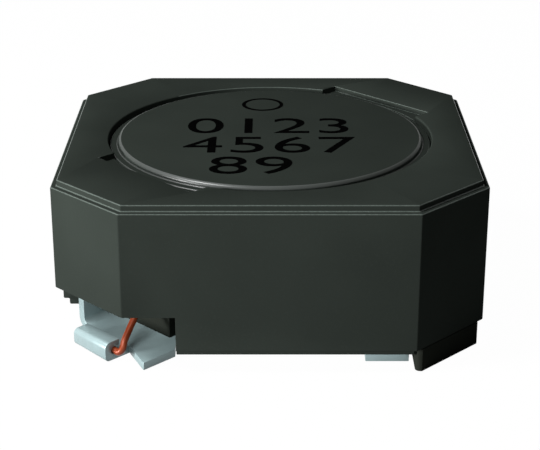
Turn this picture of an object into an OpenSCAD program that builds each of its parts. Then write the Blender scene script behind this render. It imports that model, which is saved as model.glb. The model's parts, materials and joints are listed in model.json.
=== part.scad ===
// Shielded surface-mount power inductor: a wound ferrite drum core stands inside an
// octagonal ferrite ring, both bonded to a moulded base with two folded sheet terminals.
// Millimetres. Z = 0 is the seating plane, +Z is up, the start terminal is at (-X, -Y).

/* [Overall] */
// Width of the ring core across its flats
body_w = 10.4; // [9.8:0.1:13]
// Height of the top faces above the seating plane
body_h = 4.2; // [3.9:0.1:7]
// Leg of the chamfer on each corner of the octagon
corner_leg = 1.75; // [1.4:0.05:2.1]

/* [Ring core] */
// Diameter of the round bore
bore_d = 8.26; // [8.0:0.02:8.6]
// Length of the diagonal recess across the bore, end to end
recess_len = 8.54; // [8.5:0.02:8.8]
// Width of the diagonal recess
recess_w = 3.38; // [3.0:0.02:3.6]
// Height of the steps round the top and bottom edges
step_h = 0.16; // [0.08:0.02:0.3]
// Depth of those steps, measured inwards from the wall
step_in = 0.15; // [0.06:0.01:0.3]
// Height of the ring's bottom face above the seating plane
ring_lift = 0.42; // [0.4:0.01:0.5]
// Distance of the terminal corner openings from the middle planes
opening_edge = 2.2; // [2.1:0.02:2.4]
// Ceiling of those openings above the seating plane
opening_top = 1.45; // [1.4:0.05:1.8]

/* [Drum core] */
// Radial gap between the top disc and the bore
disc_gap = 0.24; // [0.12:0.02:0.3]
// Height of the top disc above its ledge, and depth of the ring's recess
disc_rise = 0.14; // [0.1:0.01:0.3]
// Radial gap between the ledge and the bore
ledge_gap = 0.08; // [0.04:0.01:0.1]
// Rounding of the disc rim
rim_round = 0.1; // [0.02:0.01:0.12]
// Thickness of the top flange, disc and ledge together
top_flange_t = 0.8; // [0.6:0.05:1.0]
// Diameter of the bottom flange
low_flange_d = 7.88; // [7.2:0.02:7.9]
// Thickness of the bottom flange
low_flange_t = 0.75; // [0.5:0.05:0.8]
// Diameter of the middle post
post_d = 4.0; // [3.4:0.1:4.6]
// Fillet where the post meets the flanges
post_fillet = 0.12; // [0.05:0.01:0.2]

/* [Winding] */
// Diameter of the enamelled wire
wire_d = 0.17; // [0.14:0.01:0.18]
// Outer diameter of the coil
coil_d = 6.6; // [5.6:0.1:6.8]
// Space between the coil and the core all round it
coil_gap = 0.05; // [0.02:0.01:0.1]
// Turns side by side in the outer layer
layer_turns = 12; // [8:1:13]

/* [Base plate] */
// Width of the plate along X
plate_w = 9.6; // [9.0:0.1:9.8]
// Length of the plate along Y
plate_l = 9.0; // [8.8:0.1:9.2]
// Distance of its terminal corner notches from the middle planes
plate_notch = 1.85; // [1.7:0.05:2.0]
// Thickness of the cured adhesive under the cores
bond_t = 0.03; // [0.02:0.01:0.05]
// Gap between the bottom flange and the lead guard
guard_gap = 0.05; // [0.03:0.01:0.1]
// Thickness of the lead guard
guard_t = 0.35; // [0.25:0.05:0.4]
// Top of the lead guard above the seating plane
guard_top = 1.05; // [0.8:0.05:1.1]
// Clearance between the lead guard and the ring's legs beside the opening
guard_fit = 0.03; // [0.02:0.01:0.1]
// Distance of the inner faces of the feet from the middle planes
foot_in = 3.43; // [3.4:0.01:3.6]
// Distance of the outer faces of the feet from the middle planes
foot_out = 5.06; // [4.9:0.01:5.1]
// Rounding of the upright edge of each foot
foot_round = 0.12; // [0.05:0.01:0.2]
// Gap between each foot's lip and the step of the ring that it fills
lip_gap = 0.02; // [0.01:0.01:0.05]

/* [Terminals] */
// Thickness of the tinned sheet
sheet_t = 0.2; // [0.15:0.01:0.22]
// Distance of the solder strip's inner edge from the middle plane
strip_in = 2.28; // [2.1:0.02:2.3]
// Width of the solder strip
strip_w = 1.04; // [0.8:0.02:1.06]
// Distance of the strip's free end from the middle plane
strip_reach = 4.55; // [4.3:0.05:4.6]
// Half width of the wing that comes out at the corner
wing_half = 1.44; // [1.3:0.02:1.5]
// How far the lug's tip stays inside the corner plane
lug_inset = 0.46; // [0.3:0.02:0.6]
// How far the wing's front edge stays inside the corner plane
wing_inset = 0.76; // [0.7:0.02:0.9]
// How far the lug's slanting edge starts behind the wing's front edge
lug_back = 0.05; // [0:0.01:0.1]
// Distance of the side wall's outer face from the middle of the wing
wall_side = 1.38; // [1.2:0.02:1.44]
// Left side of the folded tongue, across the wing
tongue_left = -0.82; // [-1:0.02:-0.7]
// Right side of the folded tongue, across the wing
tongue_right = 0.5; // [0.4:0.02:0.5]
// How far the tongue's fold stays inside the corner plane at its tight end
tight_inset = 0.16; // [0.12:0.01:0.2]
// How far the fold stays inside the corner plane at its open end
open_inset = 0.07; // [0.04:0.01:0.12]
// Height of the fold at its tight end
tight_h = 0.42; // [0.4:0.01:0.46]
// Height of the fold at its open end, where the lead goes in
open_h = 0.49; // [0.46:0.01:0.54]
// Thickness of the sheet where it is folded over the lead
fold_t = 0.155; // [0.13:0.005:0.17]
// Length of the folded-back flap, from the fold's outer edge
flap_len = 0.44; // [0.36:0.02:0.5]
// Clearance round the lead in the fold
lead_fit = 0.01; // [0.005:0.005:0.02]
// Inner radius of the side wall's bend
bend_r = 0.17; // [0.1:0.01:0.2]
// Gap between the side wall and the ring's opening round it
side_gap = 0.05; // [0.03:0.01:0.1]

/* [Hidden] */

round_fn = 96;
small_fn = 32;
cut = 0.02;                                  // how far a cutter runs past what it cuts
start_turn = 225;                            // direction of the start terminal's corner
half_w = body_w / 2;
corner_u = (2 * half_w - corner_leg) / sqrt(2);   // corner plane, along the diagonal
bore_r = bore_d / 2;
wall_top = body_h - step_h;
wall_low = ring_lift + step_h;
disc_r = bore_r - disc_gap;
ledge_r = bore_r - ledge_gap;
ledge_z = body_h - disc_rise;
low_r = low_flange_d / 2;
post_r = post_d / 2;
window_low = ring_lift + low_flange_t;
window_top = body_h - top_flange_t;
wire_r = wire_d / 2;
coil_r = coil_d / 2;
coil_low = window_low + coil_gap;
coil_top = window_top - coil_gap;
turn_pitch = (coil_top - coil_low) / layer_turns;
plate_low = sheet_t;
plate_top = ring_lift - bond_t;
guard_in = low_r + guard_gap;
guard_out = guard_in + guard_t;
guard_edge = opening_edge + guard_fit;       // the ring's legs start just past this line
guard_half = (sqrt(pow(bore_r, 2) - pow(guard_edge, 2)) - guard_edge) / sqrt(2);
wing_front = corner_u - wing_inset;
lug_tip = corner_u - lug_inset;
bend_line = -wall_side + sheet_t + bend_r;   // where the flat wing ends and its bend starts
side_top = opening_top - side_gap;
side_from = sqrt(2) * (opening_edge + side_gap) + wall_side;   // clear of the opening's wall
lead_r = wire_r + lead_fit;
lead_u = corner_u - tight_inset - tight_h / 2 + 0.02;
lead_z = (tight_h + open_h) / 4 + 0.01;
lead_sides = 8;
lead_steps = 3;                              // rings along each stretch of the lead
fold_arc_steps = 12;

// Outline of a square of width w whose corners are cut off with legs of length leg
module octagon(w, leg) {
    a = w / 2;
    b = a - leg;
    polygon([[a, -b], [a, b], [b, a], [-b, a], [-a, b], [-a, -b], [-b, -a], [b, -a]]);
}

// The same octagon after every side has moved inwards by d
module inset_octagon(d) {
    octagon(body_w - 2 * d, corner_leg - (2 - sqrt(2)) * d);
}

module ring_core() {
    color([0.19, 0.21, 0.2])
    difference() {
        union() {
            translate([0, 0, wall_low])
                linear_extrude(wall_top - wall_low) octagon(body_w, corner_leg);
            translate([0, 0, ring_lift])
                linear_extrude(body_h - ring_lift) inset_octagon(step_in);
        }
        cylinder(r = bore_r, h = body_h + 1, $fn = round_fn);
        rotate([0, 0, start_turn]) translate([-recess_len / 2, -recess_w / 2, ledge_z])
            cube([recess_len, recess_w, body_h]);
        for (turn = [0, 180]) rotate([0, 0, turn]) corner_opening();
    }
}

// Space for the terminal and its lead under one corner of the ring
module corner_opening() {
    side = body_w - opening_edge;
    translate([-body_w, -body_w, 0]) cube([side, side, opening_top]);
}

// Rectangle from the axis out to r, with its outer top corner rounded
module disc_profile(r, h, rounding) {
    square([r, h - rounding]);
    square([r - rounding, h]);
    translate([r - rounding, h - rounding]) circle(rounding, $fn = small_fn);
}

// Fillet between the post and a flange; side is 1 above a flange and -1 below one
module post_fillet_profile(side) {
    difference() {
        translate([post_r - cut, side > 0 ? 0 : -post_fillet])
            square([post_fillet + cut, post_fillet]);
        translate([post_r + post_fillet, side * post_fillet])
            circle(post_fillet, $fn = small_fn);
    }
}

module drum_core() {
    color([0.18, 0.2, 0.19])
    rotate_extrude($fn = round_fn) {
        translate([0, ring_lift]) square([low_r, low_flange_t]);
        translate([0, ring_lift]) square([post_r, window_top - ring_lift + cut]);
        translate([0, window_top]) square([ledge_r, ledge_z - window_top]);
        translate([0, ledge_z - cut]) disc_profile(disc_r, disc_rise + cut, rim_round);
        translate([0, window_low]) post_fillet_profile(1);
        translate([0, window_top]) post_fillet_profile(-1);
    }
}

// Catmull-Rom curve through a list of points, as points along it
function curve_point(p, i, t) =
    let (a = p[max(i - 1, 0)], b = p[i], c = p[i + 1], d = p[min(i + 2, len(p) - 1)])
    0.5 * (2 * b + (c - a) * t + (2 * a - 5 * b + 4 * c - d) * t * t
           + (3 * b - a - 3 * c + d) * t * t * t);
function curve(p, steps) = [
    for (i = [0 : len(p) - 2], s = [0 : steps - 1]) curve_point(p, i, s / steps),
    p[len(p) - 1]
];
function unit(a) = a / norm(a);
function tangent(path, i) = unit(path[min(i + 1, len(path) - 1)] - path[max(i - 1, 0)]);
function square_to(a, along) = unit(a - (a * along) * along);

// Round bar along a path; the side vector is carried from ring to ring, so it never twists
module sweep(path, r, sides) {
    count = len(path);
    side = [for (i = 0, s = square_to([0, 0, 1], tangent(path, 0)); i < count;
                 i = i + 1, s = square_to(s, tangent(path, min(i, count - 1)))) s];
    rings = [for (i = [0 : count - 1], k = [0 : sides - 1])
        let (a = 360 * k / sides, other = cross(tangent(path, i), side[i]))
        path[i] + r * (cos(a) * side[i] + sin(a) * other)];
    walls = [for (i = [0 : count - 2], k = [0 : sides - 1])
        let (a = i * sides + k, b = i * sides + (k + 1) % sides)
        each [[a, b, b + sides], [a, b + sides, a + sides]]];
    first = [for (k = [sides - 1 : -1 : 0]) k];
    last = [for (k = [0 : sides - 1]) (count - 1) * sides + k];
    polyhedron(points = rings, faces = concat([first], walls, [last]));
}

// Lead from the coil, over the bottom flange and the lead guard, down into the fold:
// distance along the corner's diagonal, distance across it, height
over_flange = coil_low + wire_r + 0.03;
lead_route = [
    [coil_r - 0.8, -0.95, over_flange],
    [coil_r - 0.1, -0.65, over_flange],
    [coil_r + 0.4, -0.35, over_flange],
    [guard_in + 0.2, 0.12, guard_top + 0.22],
    [guard_out + 0.4, 0.28, guard_top],
    [guard_out + 0.75, 0.36, guard_top - 0.25],
    [wing_front - 0.05, 0.46, open_h + 0.16],
    [lead_u - 0.22, 0.6, open_h],
    [lead_u - 0.07, tongue_right + 0.22, lead_z + 0.09],
    [lead_u - 0.01, tongue_right + 0.15, lead_z],
    [lead_u, tongue_right, lead_z],
    [lead_u, tongue_right - 0.2, lead_z],
    [lead_u, tongue_left + 0.4, lead_z],
    [lead_u, tongue_left + 0.06, lead_z]
];

module coil_profile() {
    inner = post_r + coil_gap;
    translate([inner, coil_low]) square([coil_r - wire_r - inner, coil_top - coil_low]);
    for (i = [1 : layer_turns - 1])
        translate([coil_r - wire_r, coil_low + (i + 0.5) * turn_pitch])
            circle(wire_r, $fn = small_fn);
}

module winding() {
    color([0.7, 0.28, 0.16]) {
        rotate_extrude($fn = round_fn) coil_profile();
        for (turn = [0, 180]) rotate([0, 0, start_turn + turn])
            sweep(curve(lead_route, lead_steps), wire_r, lead_sides);
    }
}

module foot_outline() {
    width = foot_out - foot_in;
    intersection() {
        octagon(body_w, corner_leg);
        translate([foot_in + foot_round, -foot_out + foot_round])
            offset(foot_round, $fn = small_fn) square(width - 2 * foot_round);
    }
}

module plate_outline() {
    corner = body_w;
    difference() {
        intersection() {
            octagon(body_w, corner_leg);
            square([plate_w, plate_l], center = true);
        }
        for (turn = [0, 180]) rotate(turn)
            translate([-plate_notch - corner, -plate_notch - corner]) square(corner);
    }
    rotate(start_turn) square([2 * guard_out, 2 * guard_half], center = true);
    for (turn = [0, 180]) rotate(turn) foot_outline();
}

// Foot under a closed corner, with a lip that fills the step of the ring above it
module foot() {
    linear_extrude(plate_top) foot_outline();
    linear_extrude(wall_low - lip_gap) difference() {
        foot_outline();
        inset_octagon(step_in - lip_gap);
    }
}

module base_plate() {
    color([0.09, 0.09, 0.08]) {
        translate([0, 0, plate_low]) linear_extrude(plate_top - plate_low) plate_outline();
        for (turn = [0, 180]) {
            rotate([0, 0, turn]) foot();
            rotate([0, 0, start_turn + turn]) translate([guard_in, -guard_half, plate_low])
                cube([guard_t, 2 * guard_half, guard_top - plate_low]);
        }
    }
}

// Flat outline of the wing: x runs out along the corner's diagonal, y across it
module wing_outline() {
    inner = strip_in;
    root = wing_front - lug_back;
    polygon([[inner, bend_line], [wing_front, bend_line], [wing_front, tongue_right],
             [root, tongue_right], [lug_tip, wing_half], [inner, wing_half]]);
}

module sheet_outline() {
    far = 2 * body_w;
    intersection() {
        wing_outline();
        rotate(-start_turn) translate([-far - strip_in, -far / 2]) square(far);
    }
    rotate(-start_turn) translate([-strip_in - strip_w, -strip_reach + strip_w])
        square([strip_w, 2 * strip_reach - strip_w]);
}

// Upturned wall along the wing's left side
module side_wall_profile() {
    outer = bend_r + sheet_t;
    translate([bend_line, outer]) intersection() {
        difference() {
            circle(outer, $fn = round_fn);
            circle(bend_r, $fn = round_fn);
        }
        translate([-outer, -outer]) square(outer);
    }
    translate([-wall_side, outer - cut]) square([sheet_t, side_top - outer + cut]);
}

// Section of the folded tongue at share s of its width: tight at 0, open at 1. It runs out
// along the bottom, round the fold, back along the flap and round the lead's channel.
function mix(a, b, s) = a + (b - a) * s;
function arc(u, z, r, from, to, steps) = [
    for (k = [0 : steps]) let (a = mix(from, to, k / steps)) [u + r * cos(a), z + r * sin(a)]
];
function fold_section(s) =
    let (h = mix(tight_h, open_h, s),
         reach = corner_u - mix(tight_inset, open_inset, s),
         flap = reach - flap_len,
         channel_end = -180 + asin((lead_z - sheet_t) / lead_r),
         v = mix(tongue_left, tongue_right, s),
         outline = concat(
             [[wing_front, 0]],
             arc(reach - h / 2, h / 2, h / 2, -90, 90, fold_arc_steps),
             [[flap, h], [flap, h - fold_t]],
             arc(lead_u, lead_z, lead_r, 150, channel_end, fold_arc_steps),
             [[wing_front, sheet_t]]))
    [for (p = outline) [p[0], v, p[1]]];

// Straight loft between two outlines with the same number of points
module loft(a, b) {
    n = len(a);
    walls = [for (k = [0 : n - 1]) let (m = (k + 1) % n) each [[k, m, n + m], [k, n + m, n + k]]];
    first = [for (k = [n - 1 : -1 : 0]) k];
    last = [for (k = [0 : n - 1]) n + k];
    polyhedron(points = concat(a, b), faces = concat([first], walls, [last]));
}

module terminal() {
    rotate([0, 0, start_turn]) {
        linear_extrude(sheet_t) sheet_outline();
        translate([side_from, 0, 0]) rotate([90, 0, 90])
            linear_extrude(wing_front - side_from) side_wall_profile();
        loft(fold_section(0), fold_section(1));
    }
}

module terminal_start() {
    color([0.6, 0.68, 0.7]) terminal();
}

module terminal_finish() {
    color([0.6, 0.68, 0.7]) rotate([0, 0, 180]) terminal();
}

module drum_bond() {
    color([0.75, 0.7, 0.55]) translate([0, 0, plate_top])
        cylinder(d = post_d + 2, h = bond_t, $fn = round_fn);
}

module ring_bond() {
    side_d = 0.6;
    corner_d = 1.3;
    color([0.75, 0.7, 0.55]) for (turn = [0, 180]) rotate([0, 0, turn]) {
        translate([(bore_r + plate_w / 2) / 2, 0, plate_top])
            cylinder(d = side_d, h = bond_t, $fn = small_fn);
        rotate([0, 0, -45]) translate([(bore_r + corner_u) / 2, 0, plate_top])
            cylinder(d = corner_d, h = bond_t, $fn = small_fn);
    }
}

ring_core();
drum_core();
winding();
base_plate();
terminal_start();
terminal_finish();
drum_bond();
ring_bond();
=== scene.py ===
"""Looks of a shielded surface-mount power inductor, built round its packed solids."""

import json
import math

import bmesh
import bpy
from bpy.props import FloatProperty, FloatVectorProperty, IntProperty, PointerProperty, StringProperty
from mathutils import Matrix, Vector

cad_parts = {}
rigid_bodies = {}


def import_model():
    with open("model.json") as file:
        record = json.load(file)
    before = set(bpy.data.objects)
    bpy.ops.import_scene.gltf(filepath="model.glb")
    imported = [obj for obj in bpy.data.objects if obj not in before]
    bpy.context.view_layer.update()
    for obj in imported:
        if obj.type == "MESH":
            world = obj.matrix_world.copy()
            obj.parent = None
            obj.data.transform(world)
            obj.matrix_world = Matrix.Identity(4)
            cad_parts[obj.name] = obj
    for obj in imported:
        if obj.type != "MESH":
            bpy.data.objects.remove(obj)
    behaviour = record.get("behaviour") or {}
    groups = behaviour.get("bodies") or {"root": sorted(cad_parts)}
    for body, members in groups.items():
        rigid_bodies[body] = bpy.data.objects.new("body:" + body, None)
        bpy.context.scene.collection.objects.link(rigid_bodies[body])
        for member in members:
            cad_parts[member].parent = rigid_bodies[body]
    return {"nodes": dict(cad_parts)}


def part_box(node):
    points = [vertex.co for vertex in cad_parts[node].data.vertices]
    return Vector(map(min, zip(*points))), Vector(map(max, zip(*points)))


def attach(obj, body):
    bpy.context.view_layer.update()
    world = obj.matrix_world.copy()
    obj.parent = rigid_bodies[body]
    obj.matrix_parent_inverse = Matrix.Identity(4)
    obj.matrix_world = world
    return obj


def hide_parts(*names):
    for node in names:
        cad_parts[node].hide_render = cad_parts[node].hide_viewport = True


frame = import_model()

bl_info = {
    "name": "Shielded Power Inductor",
    "version": (1, 0, 0),
    "blender": (4, 5, 0),
    "location": "View3D > Sidebar > Inductor",
    "description": "Builds a shielded surface-mount power inductor with its finishes and stage",
    "category": "Add Mesh",
}

MM = 0.001
BODY = "root"
START_TURN = math.radians(225)    # direction of the start terminal's corner
HALF_TURN = math.pi
LARGE_FACE = 0.7 * MM * MM
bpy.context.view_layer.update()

RING_LOW, RING_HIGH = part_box("ring_core")
DRUM_LOW, DRUM_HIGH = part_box("drum_core")
PLATE_LOW, PLATE_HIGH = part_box("base_plate")
HALF_W = RING_HIGH.x
TOP = RING_HIGH.z


# ---------------------------------------------------------------- settings

def length(name, words, default, low=0.0):
    """A length setting in metres, given in millimetres."""
    return FloatProperty(name=name, description=words, default=default * MM, min=low * MM,
                         unit="LENGTH", subtype="DISTANCE", precision=6)


def colour(name, words, default):
    """A colour setting."""
    return FloatVectorProperty(name=name, description=words, default=default, size=3,
                               min=0.0, max=1.0, subtype="COLOR")


def share(name, words, default):
    """A setting from 0 to 1."""
    return FloatProperty(name=name, description=words, default=default, min=0.0, max=1.0,
                         subtype="FACTOR")


class RingSettings(bpy.types.PropertyGroup):
    """Sizes of the octagonal ring core"""
    corner_leg: length("Corner Leg", "Leg of the chamfer on each corner", 1.75)
    bore_radius: length("Bore Radius", "Radius of the round bore", 4.13)
    recess_reach: length("Recess Reach", "Half length of the diagonal recess", 4.27)
    recess_half: length("Recess Half Width", "Half width of the diagonal recess", 1.69)
    step_height: length("Step Height", "Height of the steps round both edges", 0.16)
    step_in: length("Step Depth", "Depth of those steps", 0.15)
    opening_edge: length("Opening Edge", "Distance of the corner openings from the middle", 2.2)
    opening_top: length("Opening Top", "Ceiling of the corner openings", 1.45)
    edge_round: length("Edge Rounding", "Rounding of the horizontal edges", 0.035)
    cut_round: length("Cut Rounding", "Rounding of the openings and the recess", 0.02)
    step_fillet: length("Step Fillet", "Fillet at the foot of each step", 0.035)
    upright_round: length("Upright Rounding", "Rounding of the upright edges", 0.07)


class DrumSettings(bpy.types.PropertyGroup):
    """Sizes of the drum core"""
    disc_gap: length("Disc Gap", "Gap between the top disc and the bore", 0.24)
    disc_rise: length("Disc Rise", "Height of the top disc above its ledge", 0.14)
    ledge_gap: length("Ledge Gap", "Gap between the ledge and the bore", 0.03)
    rim_round: length("Rim Rounding", "Rounding of the disc's rim", 0.1)
    flange_top: length("Top Flange", "Thickness of the top flange", 0.8)
    flange_low: length("Bottom Flange", "Thickness of the bottom flange", 0.75)
    low_radius: length("Bottom Radius", "Radius of the bottom flange", 3.94)
    post_radius: length("Post Radius", "Radius of the middle post", 2.0)
    fillet: length("Post Fillet", "Fillet where the post meets the flanges", 0.12)


class WindingSettings(bpy.types.PropertyGroup):
    """Sizes of the winding"""
    wire_radius: length("Wire Radius", "Radius of the enamelled wire", 0.085)
    coil_radius: length("Coil Radius", "Outer radius of the coil", 3.3)
    coil_gap: length("Coil Gap", "Space between the coil and the core", 0.05)
    turns: IntProperty(name="Layer Turns", description="Turns in the outer layer",
                       default=12, min=4, max=40)


class BaseSettings(bpy.types.PropertyGroup):
    """Sizes of the moulded base plate"""
    width_x: length("Plate Width", "Width of the plate along X", 9.6)
    length_y: length("Plate Length", "Length of the plate along Y", 9.0)
    notch: length("Notch", "Distance of the corner notches from the middle", 1.85)
    guard_in: length("Guard Inside", "Inner face of the lead guard", 3.99)
    guard_out: length("Guard Outside", "Outer face of the lead guard", 4.34)
    guard_half: length("Guard Half Width", "Half width of the lead guard", 0.881)
    foot_in: length("Foot Inside", "Inner faces of the feet", 3.43)
    foot_out: length("Foot Outside", "Outer faces of the feet", 5.06)
    foot_round: length("Foot Rounding", "Rounding of the upright edge of each foot", 0.12)
    lip_gap: length("Lip Gap", "Gap between a foot's lip and the ring's step", 0.006)
    edge_round: length("Edge Rounding", "Rounding of the moulded edges", 0.025)
    plate_top: length("Plate Top", "Top of the plate", 0.39)
    plate_low: length("Plate Underside", "Underside of the plate", 0.2)


class TerminalSettings(bpy.types.PropertyGroup):
    """Sizes of the folded sheet terminals"""
    sheet: length("Sheet", "Thickness of the tinned sheet", 0.2)
    strip_in: length("Strip Inside", "Inner edge of the solder strip", 2.28)
    strip_out: length("Strip Outside", "Outer edge of the solder strip", 3.32)
    strip_reach: length("Strip Reach", "Distance of the strip's end from the middle", 4.55)
    wing_half: length("Wing Half Width", "Half width of the wing", 1.44)
    wing_inset: length("Wing Inset", "Wing edge to corner plane", 0.76)
    lug_inset: length("Lug Inset", "Lug tip to corner plane", 0.46)
    lug_back: length("Lug Back", "Start of the lug's slanting edge behind the wing's edge", 0.05)
    lug_blunt: length("Lug Tip Width", "Width of the lug's blunt tip", 0.04)
    tongue_left: length("Tongue Left", "Left side of the tongue", -0.82, low=-3)
    tongue_right: length("Tongue Right", "Right side of the tongue", 0.5)
    tight_inset: length("Tight Inset", "Tight end of the fold to corner plane", 0.16)
    open_inset: length("Open Inset", "Open end of the fold to corner plane", 0.07)
    tight_height: length("Tight Height", "Height of the fold at its tight end", 0.42)
    open_height: length("Open Height", "Height of the fold at its open end", 0.49)
    fold_sheet: length("Fold Sheet", "Thickness of the sheet in the fold", 0.155)
    fold_low: share("Lower Bend", "Radius of the fold's lower bend against its height", 0.25)
    fold_high: share("Upper Bend", "Radius of the fold's upper bend against its height", 0.32)
    flap: length("Flap", "Length of the folded-back flap", 0.44)
    lead_fit: length("Lead Clearance", "Clearance round the lead in the fold", 0.01)
    bend_radius: length("Bend Radius", "Inner radius of the side wall's bend", 0.17)
    wall_top: length("Side Wall Top", "Top of the upturned side wall", 1.4)
    wall_side: length("Side Wall Place", "Outer face of the side wall across the wing", 1.44)
    wall_from: length("Side Wall Start", "Start of the side wall along the diagonal", 4.562)
    wall_back: length("Side Wall End", "End of the side wall behind the wing's edge", 0.07)
    edge_round: length("Edge Rounding", "Rounding of the punched edges", 0.012)


class MarkingSettings(bpy.types.PropertyGroup):
    """The printed marking on the top disc"""
    rows: StringProperty(name="Rows", description="Rows of plain digits, split by spaces",
                         default="0123 4567 89")
    height: length("Digit Height", "Height of the digits", 1.27)
    spacing: length("Row Spacing", "Distance from one row to the next", 1.52)
    first_row: length("First Row", "Base line of the first row", 0.07, low=-5)
    start: length("Row Start", "Left end of the rows", -2.2, low=-5)
    indent: length("Indent", "How far a short row is moved in", 0.66)
    widen: FloatProperty(name="Widen", description="How much the digits are widened",
                         default=1.2, min=0.5, max=2.0)
    ink: length("Ink", "Thickness of the ink", 0.004)
    mark_radius: length("Mark Radius", "Outer radius of the round start mark", 0.56)
    mark_stroke: length("Mark Stroke", "Width of the start mark's line", 0.1)
    mark_x: length("Mark Place X", "Place of the start mark across", -0.2, low=-4)
    mark_y: length("Mark Place Y", "Distance of the start mark behind the middle", 2.5)


class FinishSettings(bpy.types.PropertyGroup):
    """Colours of the finishes"""
    ferrite: colour("Ferrite", "Dark grey-green ferrite", (0.0415, 0.0505, 0.0436))
    ferrite_fleck: colour("Ferrite Fleck", "Lighter grains in the ferrite", (0.055, 0.064, 0.057))
    # a lighter colour painted on the ring's rounded edges as a highlight
    edge_highlight: colour("Edge Highlight", "Painted highlight on the ring's rounded edges", (0.11, 0.135, 0.12))
    # a lighter colour painted on the disc's rim as a highlight, faded along X
    rim: colour("Disc Rim", "Painted highlight on the disc's rim", (0.055, 0.065, 0.06))
    resin: colour("Resin", "Black moulded resin", (0.03, 0.034, 0.028))
    tin: colour("Tin", "Tinned sheet", (0.3, 0.4, 0.41))
    enamel: colour("Enamel", "Red-brown enamel over copper", (0.27, 0.048, 0.015))
    adhesive: colour("Adhesive", "Cured epoxy", (0.52, 0.44, 0.27))
    ink: colour("Ink", "Black marking ink", (0.002, 0.002, 0.002))


class StageSettings(bpy.types.PropertyGroup):
    """Floor, light and camera"""
    floor: colour("Floor", "Colour of the floor", (0.35, 0.35, 0.35))
    world: share("World", "Level of the soft light all round", 0.06)
    elevation: FloatProperty(name="Elevation", description="Camera height above the horizon",
                             default=math.radians(22.0), subtype="ANGLE")
    distance: length("Distance", "Camera to target", 40.22)
    target: length("Target", "Height of the target", 1.68)
    lens: FloatProperty(name="Lens", description="Focal length in millimetres", default=102.05,
                        unit="CAMERA")


SETTINGS = {
    "inductor_ring": RingSettings,
    "inductor_drum": DrumSettings,
    "inductor_winding": WindingSettings,
    "inductor_base": BaseSettings,
    "inductor_terminal": TerminalSettings,
    "inductor_marking": MarkingSettings,
    "inductor_finish": FinishSettings,
    "inductor_stage": StageSettings,
}


# ---------------------------------------------------------------- mesh helpers

def arc(u, v, radius, start, end, steps):
    """Points on an arc; the angles are in degrees."""
    angles = [math.radians(start + (end - start) * k / steps) for k in range(steps + 1)]
    return [(u + radius * math.cos(a), v + radius * math.sin(a)) for a in angles]


def mix(a, b, part):
    """Value at this part of the way from a to b."""
    return a + (b - a) * part


def ring_of(bm, points, closed=True):
    """Vertices at the points, joined by edges."""
    verts = [bm.verts.new(p) for p in points]
    last = len(verts) if closed else len(verts) - 1
    for k in range(last):
        bm.edges.new((verts[k], verts[(k + 1) % len(verts)]))
    return verts


def skin(bm, rings, closed=True):
    """Walls between neighbouring rings of vertices."""
    for low, high in zip(rings, rings[1:]):
        count = len(low)
        for k in range(count if closed else count - 1):
            m = (k + 1) % count
            bm.faces.new((low[k], low[m], high[m], high[k]))


def edges_of(bm, verts):
    """The closed chain of edges through the vertices."""
    return [bm.edges.get((verts[k], verts[(k + 1) % len(verts)])) for k in range(len(verts))]


def tidy(bm, gap=1e-8):
    """Merges doubled vertices and turns every face outwards."""
    bmesh.ops.remove_doubles(bm, verts=bm.verts, dist=gap)
    bmesh.ops.recalc_face_normals(bm, faces=bm.faces)


def to_object(bm, name):
    """A linked object with the mesh."""
    mesh = bpy.data.meshes.new(name)
    bm.to_mesh(mesh)
    bm.free()
    obj = bpy.data.objects.new(name, mesh)
    bpy.context.scene.collection.objects.link(obj)
    return obj


def apply_modifiers(obj):
    """Turns the object's modifiers into plain mesh."""
    graph = bpy.context.evaluated_depsgraph_get()
    mesh = bpy.data.meshes.new_from_object(obj.evaluated_get(graph))
    old = obj.data
    obj.modifiers.clear()
    obj.data = mesh
    bpy.data.meshes.remove(old)


def combine(obj, other, operation):
    """Boolean of two objects; the second is used up."""
    boolean = obj.modifiers.new("combine", "BOOLEAN")
    boolean.operation = operation
    boolean.solver = "EXACT"
    boolean.object = other
    apply_modifiers(obj)
    bpy.data.objects.remove(other)


def round_edges(obj, width, limit=50, segments=2):
    """Rounds every edge sharper than the limit, in degrees."""
    bevel = obj.modifiers.new("rounding", "BEVEL")
    bevel.width = width
    bevel.segments = segments
    bevel.limit_method = "ANGLE"
    bevel.angle_limit = math.radians(limit)
    bevel.use_clamp_overlap = True
    bevel.harden_normals = False
    apply_modifiers(obj)


def shade(obj, limit=32):
    """Smooth shading; level and large faces stay flat, and edges past the limit stay sharp."""
    mesh = obj.data
    for face in mesh.polygons:
        level = abs(face.normal.z) >= 0.9999
        face.use_smooth = not level and face.area < LARGE_FACE
    mesh.set_sharp_from_angle(angle=math.radians(limit))


def finish_piece(obj, material, slot, *nodes):
    """Material, body and the solids that the piece stands for; the slot is not used."""
    obj.data.materials.clear()
    obj.data.materials.append(material)
    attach(obj, BODY)
    if nodes:
        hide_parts(*nodes)
    return obj


def prism(points, low, high, name="block"):
    """Upright prism over a plane outline."""
    bm = bmesh.new()
    bottom = ring_of(bm, [(x, y, low) for x, y in points])
    top = ring_of(bm, [(x, y, high) for x, y in points])
    skin(bm, [bottom, top])
    bm.faces.new(bottom)
    bm.faces.new(top)
    tidy(bm)
    return to_object(bm, name)


def turned(points, angle):
    """Plane points turned about the axis."""
    c, s = math.cos(angle), math.sin(angle)
    return [(c * x - s * y, s * x + c * y) for x, y in points]


def rectangle(x0, y0, x1, y1):
    """Corners of a rectangle."""
    return [(x0, y0), (x1, y0), (x1, y1), (x0, y1)]


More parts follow.
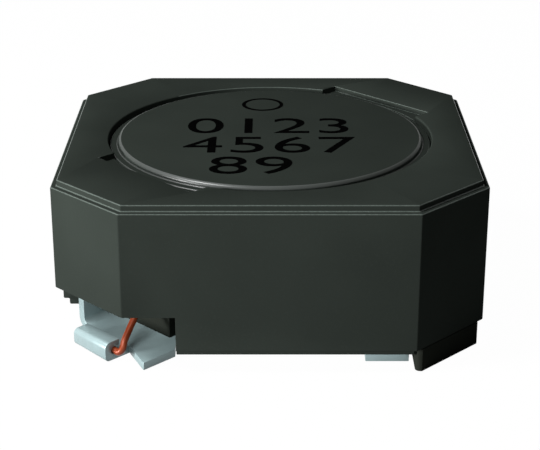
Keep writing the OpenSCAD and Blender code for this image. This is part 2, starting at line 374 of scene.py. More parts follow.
def revolve(bm, profile, segments):
    """Body of revolution; a profile point on the axis becomes one vertex."""
    rings = []
    for radius, z in profile:
        if radius < 1e-9:
            rings.append([bm.verts.new((0, 0, z))])
            continue
        rings.append([bm.verts.new((radius * math.cos(a), radius * math.sin(a), z))
                      for a in (2 * math.pi * k / segments for k in range(segments))])
    for low, high in zip(rings, rings[1:]):
        for k in range(segments):
            m = (k + 1) % segments
            if len(low) == 1 and len(high) == 1:
                continue
            if len(low) == 1:
                bm.faces.new((low[0], high[m], high[k]))
            elif len(high) == 1:
                bm.faces.new((low[k], low[m], high[0]))
            else:
                bm.faces.new((low[k], low[m], high[m], high[k]))


# ---------------------------------------------------------------- materials

class Shader:
    """Short way to build a node material round one Principled BSDF."""

    def __init__(self, name):
        self.material = bpy.data.materials.new(name)
        self.material.use_nodes = True
        self.tree = self.material.node_tree
        self.bsdf = self.tree.nodes["Principled BSDF"]
        self.coords = self.tree.nodes.new("ShaderNodeTexCoord").outputs["Object"]

    def set(self, **values):
        """Sets sockets of the BSDF; an underscore stands for a space in a socket's name."""
        for key, value in values.items():
            socket = self.bsdf.inputs[key.replace("_", " ")]
            socket.default_value = (*value, 1.0) if hasattr(value, "__len__") else value

    def node(self, kind, **values):
        """A new node; each value goes to the socket or the property of that name."""
        made = self.tree.nodes.new(kind)
        for key, value in values.items():
            if key in made.inputs:
                made.inputs[key].default_value = value
            else:
                setattr(made, key, value)
        return made

    def link(self, source, target):
        """Joins two sockets."""
        self.tree.links.new(source, target)

    def noise(self, grain, detail=2.0, rough=0.5, stretch=None):
        """Noise whose grains are about this long, in metres."""
        made = self.node("ShaderNodeTexNoise", Scale=1.0 / grain, Detail=detail, Roughness=rough)
        source = self.coords
        if stretch:
            mapping = self.node("ShaderNodeMapping", Scale=stretch)
            self.link(source, mapping.inputs["Vector"])
            source = mapping.outputs["Vector"]
        self.link(source, made.inputs["Vector"])
        return made.outputs["Fac"]

    def ramp(self, factor, low, high, first, last):
        """Colour that runs from first to last while the factor goes from low to high."""
        made = self.node("ShaderNodeValToRGB")
        made.color_ramp.elements[0].position = low
        made.color_ramp.elements[0].color = (*first, 1.0)
        made.color_ramp.elements[1].position = high
        made.color_ramp.elements[1].color = (*last, 1.0)
        self.link(factor, made.inputs["Fac"])
        return made.outputs["Color"]

    def span(self, factor, low, high, first, last):
        """Number that runs from first to last while the factor goes from low to high."""
        made = self.node("ShaderNodeMapRange")
        for key, value in (("From Min", low), ("From Max", high), ("To Min", first),
                           ("To Max", last)):
            made.inputs[key].default_value = value
        self.link(factor, made.inputs["Value"])
        return made.outputs["Result"]

    def bump(self, height, distance):
        """Fine relief of this depth, in metres."""
        made = self.node("ShaderNodeBump", Distance=distance)
        self.link(height, made.inputs["Height"])
        self.link(made.outputs["Normal"], self.bsdf.inputs["Normal"])


def scaled(tone, factor):
    """The colour made this much lighter or darker."""
    return tuple(min(1.0, c * factor) for c in tone)


def ferrite_material(name, tone, fleck, rough=0.36):
    """Pressed and tumbled ferrite: fine grains, cloudy tone, satin sheen."""
    m = Shader(name)
    grains = m.noise(0.00006, detail=3.0, rough=0.6)
    clouds = m.noise(0.0022, detail=2.0)
    ground = m.ramp(clouds, 0.3, 0.7, scaled(tone, 0.93), scaled(tone, 1.06))
    blend = m.node("ShaderNodeMix", data_type="RGBA")
    m.link(m.span(grains, 0.55, 0.75, 0.0, 0.35), blend.inputs["Factor"])
    m.link(ground, blend.inputs["A"])
    blend.inputs["B"].default_value = (*fleck, 1.0)
    m.link(blend.outputs["Result"], m.bsdf.inputs["Base Color"])
    m.link(m.span(clouds, 0.3, 0.7, rough - 0.03, rough + 0.04), m.bsdf.inputs["Roughness"])
    m.set(Specular_IOR_Level=0.0)
    m.bump(grains, 0.0000008)
    return m.material


def edge_highlight_material(name, tone, specular, rough):
    """Ferrite edge painted lighter, with fine grain and a little specular, as a painted highlight
    along the rounded edges.
    """
    m = Shader(name)
    grains = m.noise(0.00005, detail=3.0, rough=0.6)
    m.link(m.ramp(grains, 0.3, 0.7, scaled(tone, 0.75), scaled(tone, 1.25)),
           m.bsdf.inputs["Base Color"])
    m.set(Roughness=rough, Specular_IOR_Level=specular)
    m.bump(grains, 0.0000006)
    return m.material


def rim_highlight_material(name, tone, plain):
    """Ferrite rim with a painted highlight: lighter and more specular a little to the -X side of its
    middle, plain ferrite at +X.
    """
    m = Shader(name)
    place = m.node("ShaderNodeSeparateXYZ")
    m.link(m.coords, place.inputs[0])
    # the painted highlight rises from -X and fades towards +X
    rise = m.span(place.outputs["X"], -3.9 * MM, -2.2 * MM, 0.1, 1.0)
    fall = m.span(place.outputs["X"], -1.6 * MM, 3.4 * MM, 1.0, 0.0)
    highlight_share = m.node("ShaderNodeMath", operation="MULTIPLY")
    m.link(rise, highlight_share.inputs[0])
    m.link(fall, highlight_share.inputs[1])
    m.link(m.ramp(highlight_share.outputs[0], 0.0, 1.0, plain, tone), m.bsdf.inputs["Base Color"])
    m.link(m.span(highlight_share.outputs[0], 0.0, 1.0, 0.05, 0.8),
           m.bsdf.inputs["Specular IOR Level"])
    m.set(Roughness=0.34)
    return m.material


def resin_material(name, tone):
    """Black moulded resin with a fine spark-eroded grain."""
    m = Shader(name)
    grain = m.noise(0.00005, detail=2.0)
    flow = m.noise(0.0009, detail=2.0, stretch=(1.0, 0.3, 1.0))
    m.link(m.ramp(flow, 0.3, 0.7, scaled(tone, 0.95), scaled(tone, 1.06)),
           m.bsdf.inputs["Base Color"])
    m.link(m.span(grain, 0.3, 0.7, 0.42, 0.55), m.bsdf.inputs["Roughness"])
    m.set(Specular_IOR_Level=0.0)
    m.bump(grain, 0.000001)
    return m.material


def tin_material(name, tone):
    """Bright tin over sheet: soft mirror with faint rolling lines and plating mottle."""
    m = Shader(name)
    lines = m.noise(0.00004, detail=2.0, stretch=(1.0, 0.06, 1.0))
    mottle = m.noise(0.0004, detail=3.0)
    m.link(m.ramp(mottle, 0.3, 0.7, scaled(tone, 0.94), scaled(tone, 1.05)),
           m.bsdf.inputs["Base Color"])
    m.link(m.span(mottle, 0.3, 0.7, 0.34, 0.42), m.bsdf.inputs["Roughness"])
    m.set(Metallic=0.2, Specular_IOR_Level=0.5)
    m.bump(lines, 0.0000004)
    return m.material


def enamel_material(name, tone):
    """Copper wire under clear red-brown enamel."""
    m = Shader(name)
    tint = m.noise(0.0003, detail=2.0)
    m.link(m.ramp(tint, 0.3, 0.7, scaled(tone, 0.85), scaled(tone, 1.1)),
           m.bsdf.inputs["Base Color"])
    m.set(Metallic=0.2, Roughness=0.34, Specular_IOR_Level=0.3)
    m.bump(m.noise(0.00012), 0.0000005)
    return m.material


def adhesive_material(name, tone):
    """Cured epoxy, slightly cloudy."""
    m = Shader(name)
    cloud = m.noise(0.0006, detail=2.0)
    m.link(m.ramp(cloud, 0.3, 0.7, scaled(tone, 0.8), scaled(tone, 1.1)),
           m.bsdf.inputs["Base Color"])
    m.set(Roughness=0.3)
    m.bump(cloud, 0.000001)
    return m.material


def ink_material(name, tone):
    """Matt marking ink that follows the ferrite's grain."""
    m = Shader(name)
    grain = m.noise(0.00006, detail=2.0)
    m.link(m.ramp(grain, 0.3, 0.7, scaled(tone, 0.8), scaled(tone, 1.3)),
           m.bsdf.inputs["Base Color"])
    m.set(Roughness=0.6, Specular_IOR_Level=0.0)
    m.bump(grain, 0.0000008)
    return m.material


# ---------------------------------------------------------------- outlines

def corner_plane(leg):
    """Distance of the octagon's corner planes from the axis."""
    return (2 * HALF_W - leg) / math.sqrt(2)


def octagon(leg, inset, rounding=0.01 * MM, steps=1):
    """Octagon moved inwards by inset; its upright edges are sharp unless rounded more."""
    flats = (HALF_W - inset, corner_plane(leg) - inset)
    rounding = max(rounding - inset, rounding * 0.3)
    points = []
    for side in range(8):
        a, b = math.radians(45 * side), math.radians(45 * (side + 1))
        da, db = flats[side % 2], flats[(side + 1) % 2]
        det = math.sin(b - a)
        corner = Vector(((da * math.sin(b) - db * math.sin(a)) / det,
                         (db * math.cos(a) - da * math.cos(b)) / det))
        middle = (a + b) / 2
        centre = corner - Vector((math.cos(middle), math.sin(middle))) * (
            rounding / math.cos(math.radians(22.5)))
        points += arc(centre.x, centre.y, rounding, 45 * side, 45 * (side + 1), steps)
    return points


def circle(radius, steps):
    """Points round a circle about the axis."""
    return arc(0, 0, radius, 0, 360 - 360 / steps, steps - 1)


# ---------------------------------------------------------------- pieces

HIGHLIGHT_FROM, HIGHLIGHT_TO = -0.93, 0.62    # X share of the direction that a bore edge with the painted highlight faces


def paint_edge_highlights(obj, material, low, high, inside=0.0):
    """Gives the faces of the rounded edges, which slant this much, a lighter colour as a painted
    highlight.

    Nearer to the axis than inside, the edges that face -X or +X, away from the lamps, stay plain.
    """
    obj.data.materials.append(material)
    for face in obj.data.polygons:
        if not low < face.normal.z < high:
            continue
        side = face.normal.x / face.normal.xy.length
        if face.center.xy.length > inside or HIGHLIGHT_FROM < side < HIGHLIGHT_TO:
            face.material_index = 1
    return obj


def build_ring(ring, recess_floor, finish):
    """Octagonal ring: stepped edges, bore with a diagonal recess, two corner openings."""
    r = ring.edge_round
    f = ring.step_fillet
    step = ring.step_in
    wall_top = TOP - ring.step_height
    half_up = [(r - x, z) for x, z in arc(0, wall_top - r, r, 0, 90, 4)]
    half_up += [(step - f + x, z) for x, z in arc(0, wall_top + f, f, -90, 0, 5)]
    half_up += [(step + r - x, z) for x, z in arc(0, TOP - r, r, 0, 90, 4)]
    flip = TOP + RING_LOW.z
    outer = [(inset, flip - z) for inset, z in reversed(half_up)] + half_up
    inner = [(0, RING_LOW.z)]
    inner += [(r - x, z) for x, z in arc(0, TOP - r, r, 0, 90, 3)]

    bm = bmesh.new()
    outside = [ring_of(bm, [(x, y, z) for x, y in octagon(ring.corner_leg, inset,
                                                          ring.upright_round, 4)])
               for inset, z in outer]
    inside = [ring_of(bm, [(x, y, z) for x, y in circle(ring.bore_radius + grow, 192)])
              for grow, z in inner]
    skin(bm, outside)
    skin(bm, inside)
    for a, b in ((outside[0], inside[0]), (outside[-1], inside[-1])):
        bmesh.ops.triangle_fill(bm, use_beauty=True, edges=edges_of(bm, a) + edges_of(bm, b))
    tidy(bm)
    obj = to_object(bm, "ring_core_ferrite")

    far = 2 * HALF_W
    for turn in (0, HALF_TURN):
        outline = turned(rectangle(-far, -far, -ring.opening_edge, -ring.opening_edge), turn)
        combine(obj, prism(outline, -far, ring.opening_top), "DIFFERENCE")
    reach, half = ring.recess_reach, ring.recess_half
    recess = turned(rectangle(-reach, -half, reach, half), START_TURN)
    combine(obj, prism(recess, recess_floor, far), "DIFFERENCE")
    round_edges(obj, ring.cut_round)
    shade(obj)
    finish_piece(obj, finish["ring"], "ring_ferrite", "ring_core")
    # the rounded edges get a lighter colour as a painted highlight
    return paint_edge_highlights(obj, finish["ring_edge"], 0.3, 0.93, ring.bore_radius * 1.1)


def build_drum(drum, ring, finish):
    """Ferrite spool whose top disc lies flush in the ring."""
    disc = ring.bore_radius - drum.disc_gap
    ledge = ring.bore_radius - drum.ledge_gap
    ledge_z = TOP - drum.disc_rise
    low = DRUM_LOW.z
    window_low = low + drum.flange_low
    window_top = TOP - drum.flange_top
    r = ring.edge_round
    f = drum.fillet
    post = drum.post_radius
    profile = [(0, TOP)]
    profile += arc(disc - drum.rim_round, TOP - drum.rim_round, drum.rim_round, 90, 0, 8)
    profile += arc(disc + r, ledge_z + r, r, 180, 270, 4)
    profile += arc(ledge - r, ledge_z - r, r, 90, 0, 3)
    profile += arc(ledge - r, window_top + r, r, 0, -90, 3)
    profile += arc(post + f, window_top - f, f, 90, 180, 4)
    profile += arc(post + f, window_low + f, f, 180, 270, 4)
    profile += arc(drum.low_radius - r, window_low - r, r, 90, 0, 3)
    profile += arc(drum.low_radius - r, low + r, r, 0, -90, 3)
    profile += [(0, low)]
    bm = bmesh.new()
    revolve(bm, profile, 192)
    tidy(bm)
    obj = to_object(bm, "drum_core_ferrite")
    shade(obj)
    finish_piece(obj, finish["drum"], "drum_ferrite", "drum_core")
    # the rounded edges of the drum get the rim's painted highlight
    return paint_edge_highlights(obj, finish["rim"], 0.05, 0.99)


def curve_through(points, steps):
    """Smooth curve through the points, as points along it."""
    out = []
    for i in range(len(points) - 1):
        a, b = points[max(i - 1, 0)], points[i]
        c, d = points[i + 1], points[min(i + 2, len(points) - 1)]
        for k in range(steps):
            t = k / steps
            out.append(0.5 * (2 * b + (c - a) * t + (2 * a - 5 * b + 4 * c - d) * t * t
                              + (3 * b - a - 3 * c + d) * t * t * t))
    return out + [points[-1]]


def sweep(bm, path, radius, sides):
    """Round bar along a path, with closed ends."""
    count = len(path)
    side, rings = Vector((0, 0, 1)), []
    for i, point in enumerate(path):
        along = (path[min(i + 1, count - 1)] - path[max(i - 1, 0)]).normalized()
        side = (side - side.dot(along) * along).normalized()
        other = along.cross(side)
        angles = [2 * math.pi * k / sides for k in range(sides)]
        rings.append(ring_of(bm, [point + radius * (math.cos(a) * side + math.sin(a) * other)
                                  for a in angles]))
    skin(bm, rings)
    bm.faces.new(rings[0])
    bm.faces.new(rings[-1])


def lead_route(drum, winding, base, terminal, ring):
    """The lead from the coil over the bottom flange and the guard, down into the fold."""
    window_low = DRUM_LOW.z + drum.flange_low
    over = window_low + winding.coil_gap + winding.wire_radius + 0.03 * MM
    coil = winding.coil_radius
    front = corner_plane(ring.corner_leg) - terminal.wing_inset
    lead_u, lead_z = lead_place(terminal, ring)
    right = terminal.tongue_right
    guard_top = PLATE_HIGH.z
    route = [
        (coil - 0.8 * MM, -0.95 * MM, over),
        (coil - 0.1 * MM, -0.65 * MM, over),
        (coil + 0.4 * MM, -0.35 * MM, over),
        (base.guard_in + 0.2 * MM, 0.12 * MM, guard_top + 0.22 * MM),
        (base.guard_out + 0.4 * MM, 0.28 * MM, guard_top),
        (base.guard_out + 0.75 * MM, 0.44 * MM, guard_top - 0.25 * MM),
        (front - 0.05 * MM, 0.53 * MM, terminal.open_height + 0.16 * MM),
        (lead_u - 0.22 * MM, 0.64 * MM, terminal.open_height),
        (lead_u - 0.07 * MM, right + 0.22 * MM, lead_z + 0.09 * MM),
        (lead_u - 0.01 * MM, right + 0.15 * MM, lead_z),
        (lead_u, right, lead_z),
        (lead_u, right - 0.2 * MM, lead_z),
        (lead_u, terminal.tongue_left + 0.4 * MM, lead_z),
        (lead_u, terminal.tongue_left + 0.06 * MM, lead_z),
    ]
    return [Vector(p) for p in route]


def lead_place(terminal, ring):
    """Where the lead lies in the fold, just outside its middle: distance out and height."""
    along = corner_plane(ring.corner_leg) - terminal.tight_inset - terminal.tight_height / 2
    return along + 0.02 * MM, (terminal.tight_height + terminal.open_height) / 4 + 0.01 * MM


def build_winding(drum, winding, base, terminal, ring, finish):
    """Coil with the turns of its outer layer, and both leads."""
    low = DRUM_LOW.z + drum.flange_low + winding.coil_gap
    high = TOP - drum.flange_top - winding.coil_gap
    inner = drum.post_radius + winding.coil_gap
    wire = winding.wire_radius
    pitch = (high - low) / winding.turns
    face = winding.coil_radius - wire
    profile = [(inner, low), (face, low)]
    for k in range(1, winding.turns):
        profile += arc(face, low + (k + 0.5) * pitch, wire, -90, 90, 8)
    profile += [(face, high), (inner, high), (inner, low)]
    bm = bmesh.new()
    revolve(bm, profile, 128)
    path = curve_through(lead_route(drum, winding, base, terminal, ring), 8)
    for turn in (0, HALF_TURN):
        spin = Matrix.Rotation(START_TURN + turn, 3, "Z")
        sweep(bm, [spin @ p for p in path], wire, 20)
    tidy(bm)
    obj = to_object(bm, "winding_wire")
    shade(obj, 40)
    return finish_piece(obj, finish["enamel"], "enamelled_copper", "winding")


def build_base(base, ring, finish):
    """Moulded plate with two corner feet and two lead guards."""
    far = 2 * HALF_W
    half_x, half_y = base.width_x / 2, base.length_y / 2
    plate = prism(rectangle(-half_x, -half_y, half_x, half_y), base.plate_low, base.plate_top,
                  "base_plate_resin")
    reach, half = base.guard_out, base.guard_half
    r = base.foot_round
    lip_top = RING_LOW.z + ring.step_height - base.lip_gap
    step = octagon(ring.corner_leg, ring.step_in - base.lip_gap)
    sink = 0.003 * MM    # keeps the faces of joined blocks out of each other's planes
    for turn in (0, HALF_TURN):
        notch = rectangle(-far, -far, -base.notch, -base.notch)
        combine(plate, prism(turned(notch, turn), -far, far), "DIFFERENCE")
    for turn in (0, HALF_TURN):
        outline = turned(rectangle(0, -half, reach, half), START_TURN + turn)
        guard = prism(outline, base.plate_low + sink, PLATE_HIGH.z)
        room = turned(rectangle(-half, -2 * half, base.guard_in, 2 * half), START_TURN + turn)
        combine(guard, prism(room, base.plate_top - sink, far), "DIFFERENCE")
        combine(plate, guard, "UNION")
    for turn in (0, HALF_TURN):
        outline = []
        for u, v, start in ((base.foot_in + r, r - base.foot_out, 180),
                            (base.foot_out - r, r - base.foot_out, 270),
                            (base.foot_out - r, -base.foot_in - r, 0),
                            (base.foot_in + r, -base.foot_in - r, 90)):
            outline += arc(u, v, r, start, start + 90, 6)
        foot = prism(turned(outline, turn), PLATE_LOW.z, lip_top)
        combine(foot, prism(step, base.plate_top - 2 * sink, far), "DIFFERENCE")
        combine(plate, foot, "UNION")
    combine(plate, prism(octagon(ring.corner_leg, 0), -far, far), "INTERSECT")
    round_edges(plate, base.edge_round, limit=40)
    shade(plate)
    return finish_piece(plate, finish["resin"], "base_resin", "base_plate")


def fold_section(terminal, ring, wire, part):
    """Section of the folded tongue at this part of its width: distance out and height."""
    corner = corner_plane(ring.corner_leg)
    height = mix(terminal.tight_height, terminal.open_height, part)
    reach = corner - mix(terminal.tight_inset, terminal.open_inset, part)
    front = corner - terminal.wing_inset
    lead_u, lead_z = lead_place(terminal, ring)
    hole = wire + terminal.lead_fit
    end = -180 + math.degrees(math.asin((lead_z - terminal.sheet) / hole))
    flap = reach - terminal.flap
    low, high = terminal.fold_low * height, terminal.fold_high * height
    points = [(front, 0)]
    points += arc(reach - low, low, low, -90, 0, 8)
    points += arc(reach - high, height - high, high, 0, 90, 14)
    points += [(flap, height), (flap, height - terminal.fold_sheet)]
    points += arc(lead_u, lead_z, hole, 150, end, 16)
    points += [(front, terminal.sheet)]
    return points


def build_terminal(name, turn, terminal, ring, wire, material, node):
    """Solder strip, wing with its slanting lug, side wall and folded tongue, one sheet."""
    t = terminal.sheet
    corner = corner_plane(ring.corner_leg)
    front = corner - terminal.wing_inset
    tip = corner - terminal.lug_inset
    side = terminal.wing_half
    wall_side = terminal.wall_side
    wall_end = front - terminal.wall_back
    bend = -wall_side + t + terminal.bend_radius
    left, right = terminal.tongue_left, terminal.tongue_right
    inner, outer, reach = terminal.strip_in, terminal.strip_out, terminal.strip_reach
    root2 = math.sqrt(2)
    width = outer - inner
    strip = turned([(-inner, reach), (-outer, reach), (-outer, wall_side * root2 - outer)],
                   -START_TURN) + [(terminal.wall_from, -wall_side)]
    shares = [k / 8 for k in range(9)]
    stations = [(front, mix(left, right, s)) for s in shares]
    outline = strip + [(terminal.wall_from, bend), (wall_end, bend), (front, bend)] + stations
    outline += [(front - terminal.lug_back, right), (tip, side - terminal.lug_blunt), (tip, side)]
    outline += [(side + inner * root2, side)]
    open_walls = {len(strip)} | {len(strip) + 3 + k for k in range(8)}

    bm = bmesh.new()
    bottom = ring_of(bm, [(u, v, 0) for u, v in outline])
    top = ring_of(bm, [(u, v, t) for u, v in outline])
    count = len(outline)
    for k in range(count):
        if k not in open_walls:
            m = (k + 1) % count
            bm.faces.new((bottom[k], bottom[m], top[m], top[k]))
    for verts in (bottom, top):
        bmesh.ops.triangle_fill(bm, use_beauty=True, edges=edges_of(bm, verts))

    sections = [ring_of(bm, [(u, mix(left, right, s), z)
                             for u, z in fold_section(terminal, ring, wire, s)], closed=False)
                for s in shares]
    skin(bm, sections, closed=False)
    bm.faces.new(sections[0])
    bm.faces.new(sections[-1])

    radius = terminal.bend_radius
    wall = arc(bend, radius + t, radius + t, -90, -180, 8)
    wall += [(-wall_side, terminal.wall_top), (-wall_side + t, terminal.wall_top)]
    wall += arc(bend, radius + t, radius, -180, -90, 8)
    ends = [ring_of(bm, [(u, v, z) for v, z in wall], closed=False)
            for u in (terminal.wall_from, wall_end)]
    skin(bm, ends, closed=False)
    bm.faces.new(ends[0])
    bm.faces.new(ends[1])

    bmesh.ops.remove_doubles(bm, verts=bm.verts, dist=1e-7)
    bmesh.ops.dissolve_limit(bm, angle_limit=math.radians(0.5), verts=bm.verts,
                             edges=bm.edges, delimit={"NORMAL"})
    bmesh.ops.recalc_face_normals(bm, faces=bm.faces)
    bm.transform(Matrix.Rotation(START_TURN + turn, 4, "Z"))
    obj = to_object(bm, name)
    round_edges(obj, terminal.edge_round, limit=50)
    shade(obj)
    return finish_piece(obj, material, "tinned_sheet", node)


DIGIT_SHARE = 0.72    # height of a digit in the built-in font against the font's size
DIGIT_SPACE = 1.05    # room for each digit against the font's own


def build_marking(marking, finish):
    """Rows of plain digits and a round start mark, printed on the top disc."""
    made = []
    rows = marking.rows.split()
    for index, row in enumerate(rows):
        curve = bpy.data.curves.new("digits", "FONT")
        curve.body = row
        curve.size = marking.height / DIGIT_SHARE
        curve.extrude = marking.ink
        curve.space_character = DIGIT_SPACE
        curve.resolution_u = 6
        obj = bpy.data.objects.new("digits", curve)
        bpy.context.scene.collection.objects.link(obj)
        base = marking.first_row - index * marking.spacing
        start = marking.start + (marking.indent if len(row) < len(rows[0]) else 0)
        obj.matrix_world = Matrix.Translation((start, base, TOP)) @ Matrix.Diagonal(
            (marking.widen, 1, 1, 1))
        made.append(obj)
    bpy.context.view_layer.update()
    graph = bpy.context.evaluated_depsgraph_get()
    bm = bmesh.new()
    for obj in made:
        mesh = bpy.data.meshes.new_from_object(obj.evaluated_get(graph))
        mesh.transform(obj.matrix_world)
        bm.from_mesh(mesh)
        bpy.data.meshes.remove(mesh)
        bpy.data.objects.remove(obj)
    ink, outer = marking.ink, marking.mark_radius
    section = [(outer, -ink), (outer, ink), (outer - marking.mark_stroke, ink),
               (outer - marking.mark_stroke, -ink)]
    rings = [ring_of(bm, [(marking.mark_x + x, marking.mark_y + y, TOP + z)
                          for x, y in circle(radius, 64)]) for radius, z in section]
    skin(bm, rings + rings[:1])
    tidy(bm)
    obj = to_object(bm, "top_marking_ink")
    shade(obj)
    return finish_piece(obj, finish["ink"], "base_resin")


# ---------------------------------------------------------------- stage

def area_lamp(name, place, size, watts):
    """Soft square lamp that looks at the object."""
    light = bpy.data.lights.new(name, "AREA")
    light.energy = watts
    light.size = size
    obj = bpy.data.objects.new(name, light)
    obj.location = place
    aim = Vector((0, 0, 2 * MM)) - Vector(place)
    obj.rotation_euler = aim.to_track_quat("-Z", "Y").to_euler()
    bpy.context.scene.collection.objects.link(obj)
    return obj


def seen_directly(tree):
    """1 where a camera, glossy or transmission ray looks, 0 for the rest."""
    path = tree.nodes.new("ShaderNodeLightPath")
    total = path.outputs["Is Camera Ray"]
    for kind in ("Is Glossy Ray", "Is Transmission Ray"):
        either = tree.nodes.new("ShaderNodeMath")
        either.operation = "MAXIMUM"
        tree.links.new(total, either.inputs[0])
        tree.links.new(path.outputs[kind], either.inputs[1])
        total = either.outputs[0]
    return total


def floor_material(tone):
    """Pale floor that reads as the background and keeps the shadow."""
    material = bpy.data.materials.new("pale_floor")
    material.use_nodes = True
    tree = material.node_tree
    tree.nodes.clear()
    out = tree.nodes.new("ShaderNodeOutputMaterial")
    blend = tree.nodes.new("ShaderNodeMixShader")
    plain = tree.nodes.new("ShaderNodeBsdfDiffuse")
    plain.inputs["Color"].default_value = (*tone, 1.0)
    bright = tree.nodes.new("ShaderNodeEmission")
    bright.inputs["Strength"].default_value = 1.05
    bright_share = tree.nodes.new("ShaderNodeMath")
    bright_share.operation = "MULTIPLY"
    bright_share.inputs[1].default_value = 0.94    # the rest shows the shadow
    link = tree.links.new
    link(seen_directly(tree), bright_share.inputs[0])
    link(bright_share.outputs[0], blend.inputs["Fac"])
    link(plain.outputs[0], blend.inputs[1])
    link(bright.outputs[0], blend.inputs[2])
    link(blend.outputs[0], out.inputs["Surface"])
    return material


def build_stage(stage):
    """Floor, lamps, world and camera."""
    bm = bmesh.new()
    bmesh.ops.create_grid(bm, x_segments=1, y_segments=1, size=1.5)
    floor = to_object(bm, "floor")
    floor.data.materials.append(floor_material(stage.floor))

    area_lamp("key", place=(-0.155, -0.072, 0.022), size=0.04, watts=0.33)
    fill = area_lamp("metal_fill", place=(-0.012, -0.02, 0.055), size=0.03, watts=0.022)
    area_lamp("top", place=(-0.036, -0.014, 0.058), size=0.014, watts=0.026)
    metal = bpy.data.collections.new("metal")
    for obj in bpy.context.scene.objects:
        if obj.name.startswith(("terminal", "winding")):
            metal.objects.link(obj)
    fill.light_linking.receiver_collection = metal
    fill.light_linking.blocker_collection = metal

    world = bpy.data.worlds.new("soft_world")
    bpy.context.scene.world = world
    world.use_nodes = True
    tree = world.node_tree
    soft = tree.nodes["Background"]
    soft.inputs["Color"].default_value = (1, 1, 1, 1)
    soft.inputs["Strength"].default_value = stage.world
    white = tree.nodes.new("ShaderNodeBackground")
    white.inputs["Color"].default_value = (1, 1, 1, 1)
    white.inputs["Strength"].default_value = 1.0
    blend = tree.nodes.new("ShaderNodeMixShader")
    tree.links.new(seen_directly(tree), blend.inputs["Fac"])
    tree.links.new(soft.outputs[0], blend.inputs[1])
    tree.links.new(white.outputs[0], blend.inputs[2])
    tree.links.new(blend.outputs[0], tree.nodes["World Output"].inputs["Surface"])

    data = bpy.data.cameras.new("camera")
    data.lens = stage.lens
    data.sensor_width = 36
    data.clip_start = 0.001
    data.clip_end = 10
    camera = bpy.data.objects.new("camera", data)
    lean, back = stage.elevation, stage.distance
    camera.location = (0, -back * math.cos(lean), stage.target + back * math.sin(lean))
    camera.rotation_euler = (math.pi / 2 - lean, 0, 0)
    bpy.context.scene.collection.objects.link(camera)
    bpy.context.scene.camera = camera
    bpy.context.scene.view_settings.view_transform = "Standard"


# ---------------------------------------------------------------- operators

_finishes = {}


def finishes(scene):
    """The materials, made once from the colour settings."""
    if not _finishes:
        f = scene.inductor_finish
        _finishes.update(
            ring=ferrite_material("ring_ferrite_satin", f.ferrite, f.ferrite_fleck),
            # the ring's edge finish is a painted highlight
            ring_edge=edge_highlight_material("ring_ferrite_edge_highlight", f.edge_highlight, 0.15, 0.35),
            drum=ferrite_material("drum_ferrite_satin", f.ferrite, f.ferrite_fleck, 0.34),
            # the disc's rim finish is a painted highlight
            rim=rim_highlight_material("drum_ferrite_rim_highlight", f.rim, f.ferrite),
            resin=resin_material("base_resin_black", f.resin),
            tin=tin_material("tinned_sheet", f.tin),
            enamel=enamel_material("enamelled_copper", f.enamel),
            adhesive=adhesive_material("cured_adhesive", f.adhesive),
            ink=ink_material("marking_ink", f.ink),
        )
    return _finishes


class BuildRing(bpy.types.Operator):
    """Build the octagonal ring core"""
    bl_idname = "inductor.build_ring"
    bl_label = "Ring Core"

    def execute(self, context):
        s = context.scene
        build_ring(s.inductor_ring, TOP - s.inductor_drum.disc_rise, finishes(s))
        return {"FINISHED"}


class BuildDrum(bpy.types.Operator):
    """Build the drum core"""
    bl_idname = "inductor.build_drum"
    bl_label = "Drum Core"

    def execute(self, context):
        s = context.scene
        build_drum(s.inductor_drum, s.inductor_ring, finishes(s))
        return {"FINISHED"}


class BuildWinding(bpy.types.Operator):
    """Build the winding with both leads"""
    bl_idname = "inductor.build_winding"
    bl_label = "Winding"

    def execute(self, context):
        s = context.scene
        build_winding(s.inductor_drum, s.inductor_winding, s.inductor_base,
                      s.inductor_terminal, s.inductor_ring, finishes(s))
        return {"FINISHED"}


class BuildBase(bpy.types.Operator):
    """Build the moulded base plate"""
    bl_idname = "inductor.build_base"
    bl_label = "Base Plate"

    def execute(self, context):
        s = context.scene
        build_base(s.inductor_base, s.inductor_ring, finishes(s))
        return {"FINISHED"}


class BuildTerminals(bpy.types.Operator):
    """Build the two folded terminals"""
    bl_idname = "inductor.build_terminals"
    bl_label = "Terminals"

    def execute(self, context):
        s = context.scene
        for name, turn, node in (("terminal_start_tin", 0, "terminal_start"),
                                 ("terminal_finish_tin", HALF_TURN, "terminal_finish")):
            build_terminal(name, turn, s.inductor_terminal, s.inductor_ring,
                           s.inductor_winding.wire_radius, finishes(s)["tin"], node)
        return {"FINISHED"}


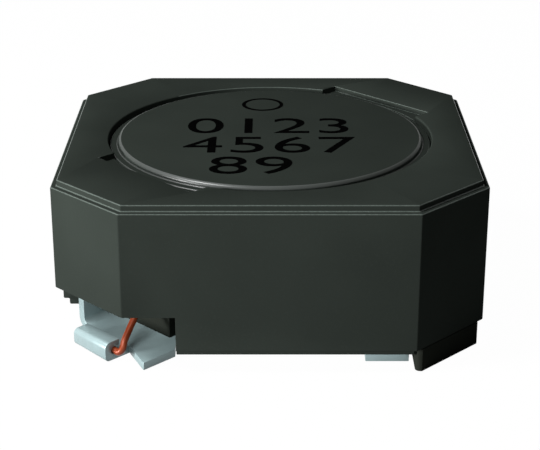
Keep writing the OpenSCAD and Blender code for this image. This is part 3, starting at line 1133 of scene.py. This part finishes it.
class DressBonds(bpy.types.Operator):
    """Give the adhesive films their finish"""
    bl_idname = "inductor.dress_bonds"
    bl_label = "Adhesive Bonds"

    def execute(self, context):
        for node in ("drum_bond", "ring_bond"):
            mesh = frame["nodes"][node].data
            mesh.materials.clear()
            mesh.materials.append(finishes(context.scene)["adhesive"])
        return {"FINISHED"}


class PrintMarking(bpy.types.Operator):
    """Print the plain digits and the start mark"""
    bl_idname = "inductor.print_marking"
    bl_label = "Marking"

    def execute(self, context):
        build_marking(context.scene.inductor_marking, finishes(context.scene))
        return {"FINISHED"}


class BuildStage(bpy.types.Operator):
    """Build the floor, the light and the camera"""
    bl_idname = "inductor.build_stage"
    bl_label = "Stage"

    def execute(self, context):
        build_stage(context.scene.inductor_stage)
        return {"FINISHED"}


OPERATORS = (BuildRing, BuildDrum, BuildWinding, BuildBase, BuildTerminals, DressBonds,
             PrintMarking, BuildStage)


class InductorPanel(bpy.types.Panel):
    """Lists the build steps and the settings"""
    bl_idname = "VIEW3D_PT_inductor"
    bl_label = "Power Inductor"
    bl_space_type = "VIEW_3D"
    bl_region_type = "UI"
    bl_category = "Inductor"

    def draw(self, context):
        for operator in OPERATORS:
            self.layout.operator(operator.bl_idname)
        for key, group in SETTINGS.items():
            box = self.layout.box()
            box.label(text=group.__doc__)
            for name in group.__annotations__:
                box.prop(getattr(context.scene, key), name)


CLASSES = (*SETTINGS.values(), *OPERATORS, InductorPanel)


def register():
    """Registers the classes and puts the settings on the scene."""
    for cls in CLASSES:
        bpy.utils.register_class(cls)
    for key, group in SETTINGS.items():
        setattr(bpy.types.Scene, key, PointerProperty(type=group))


def unregister():
    """Takes the settings and the classes away again."""
    for key in SETTINGS:
        delattr(bpy.types.Scene, key)
    for cls in reversed(CLASSES):
        bpy.utils.unregister_class(cls)


def main():
    """Builds every piece and the stage."""
    register()
    for operator in OPERATORS:
        area, step = operator.bl_idname.split(".")
        getattr(getattr(bpy.ops, area), step)()


if __name__ == "__main__":
    main()
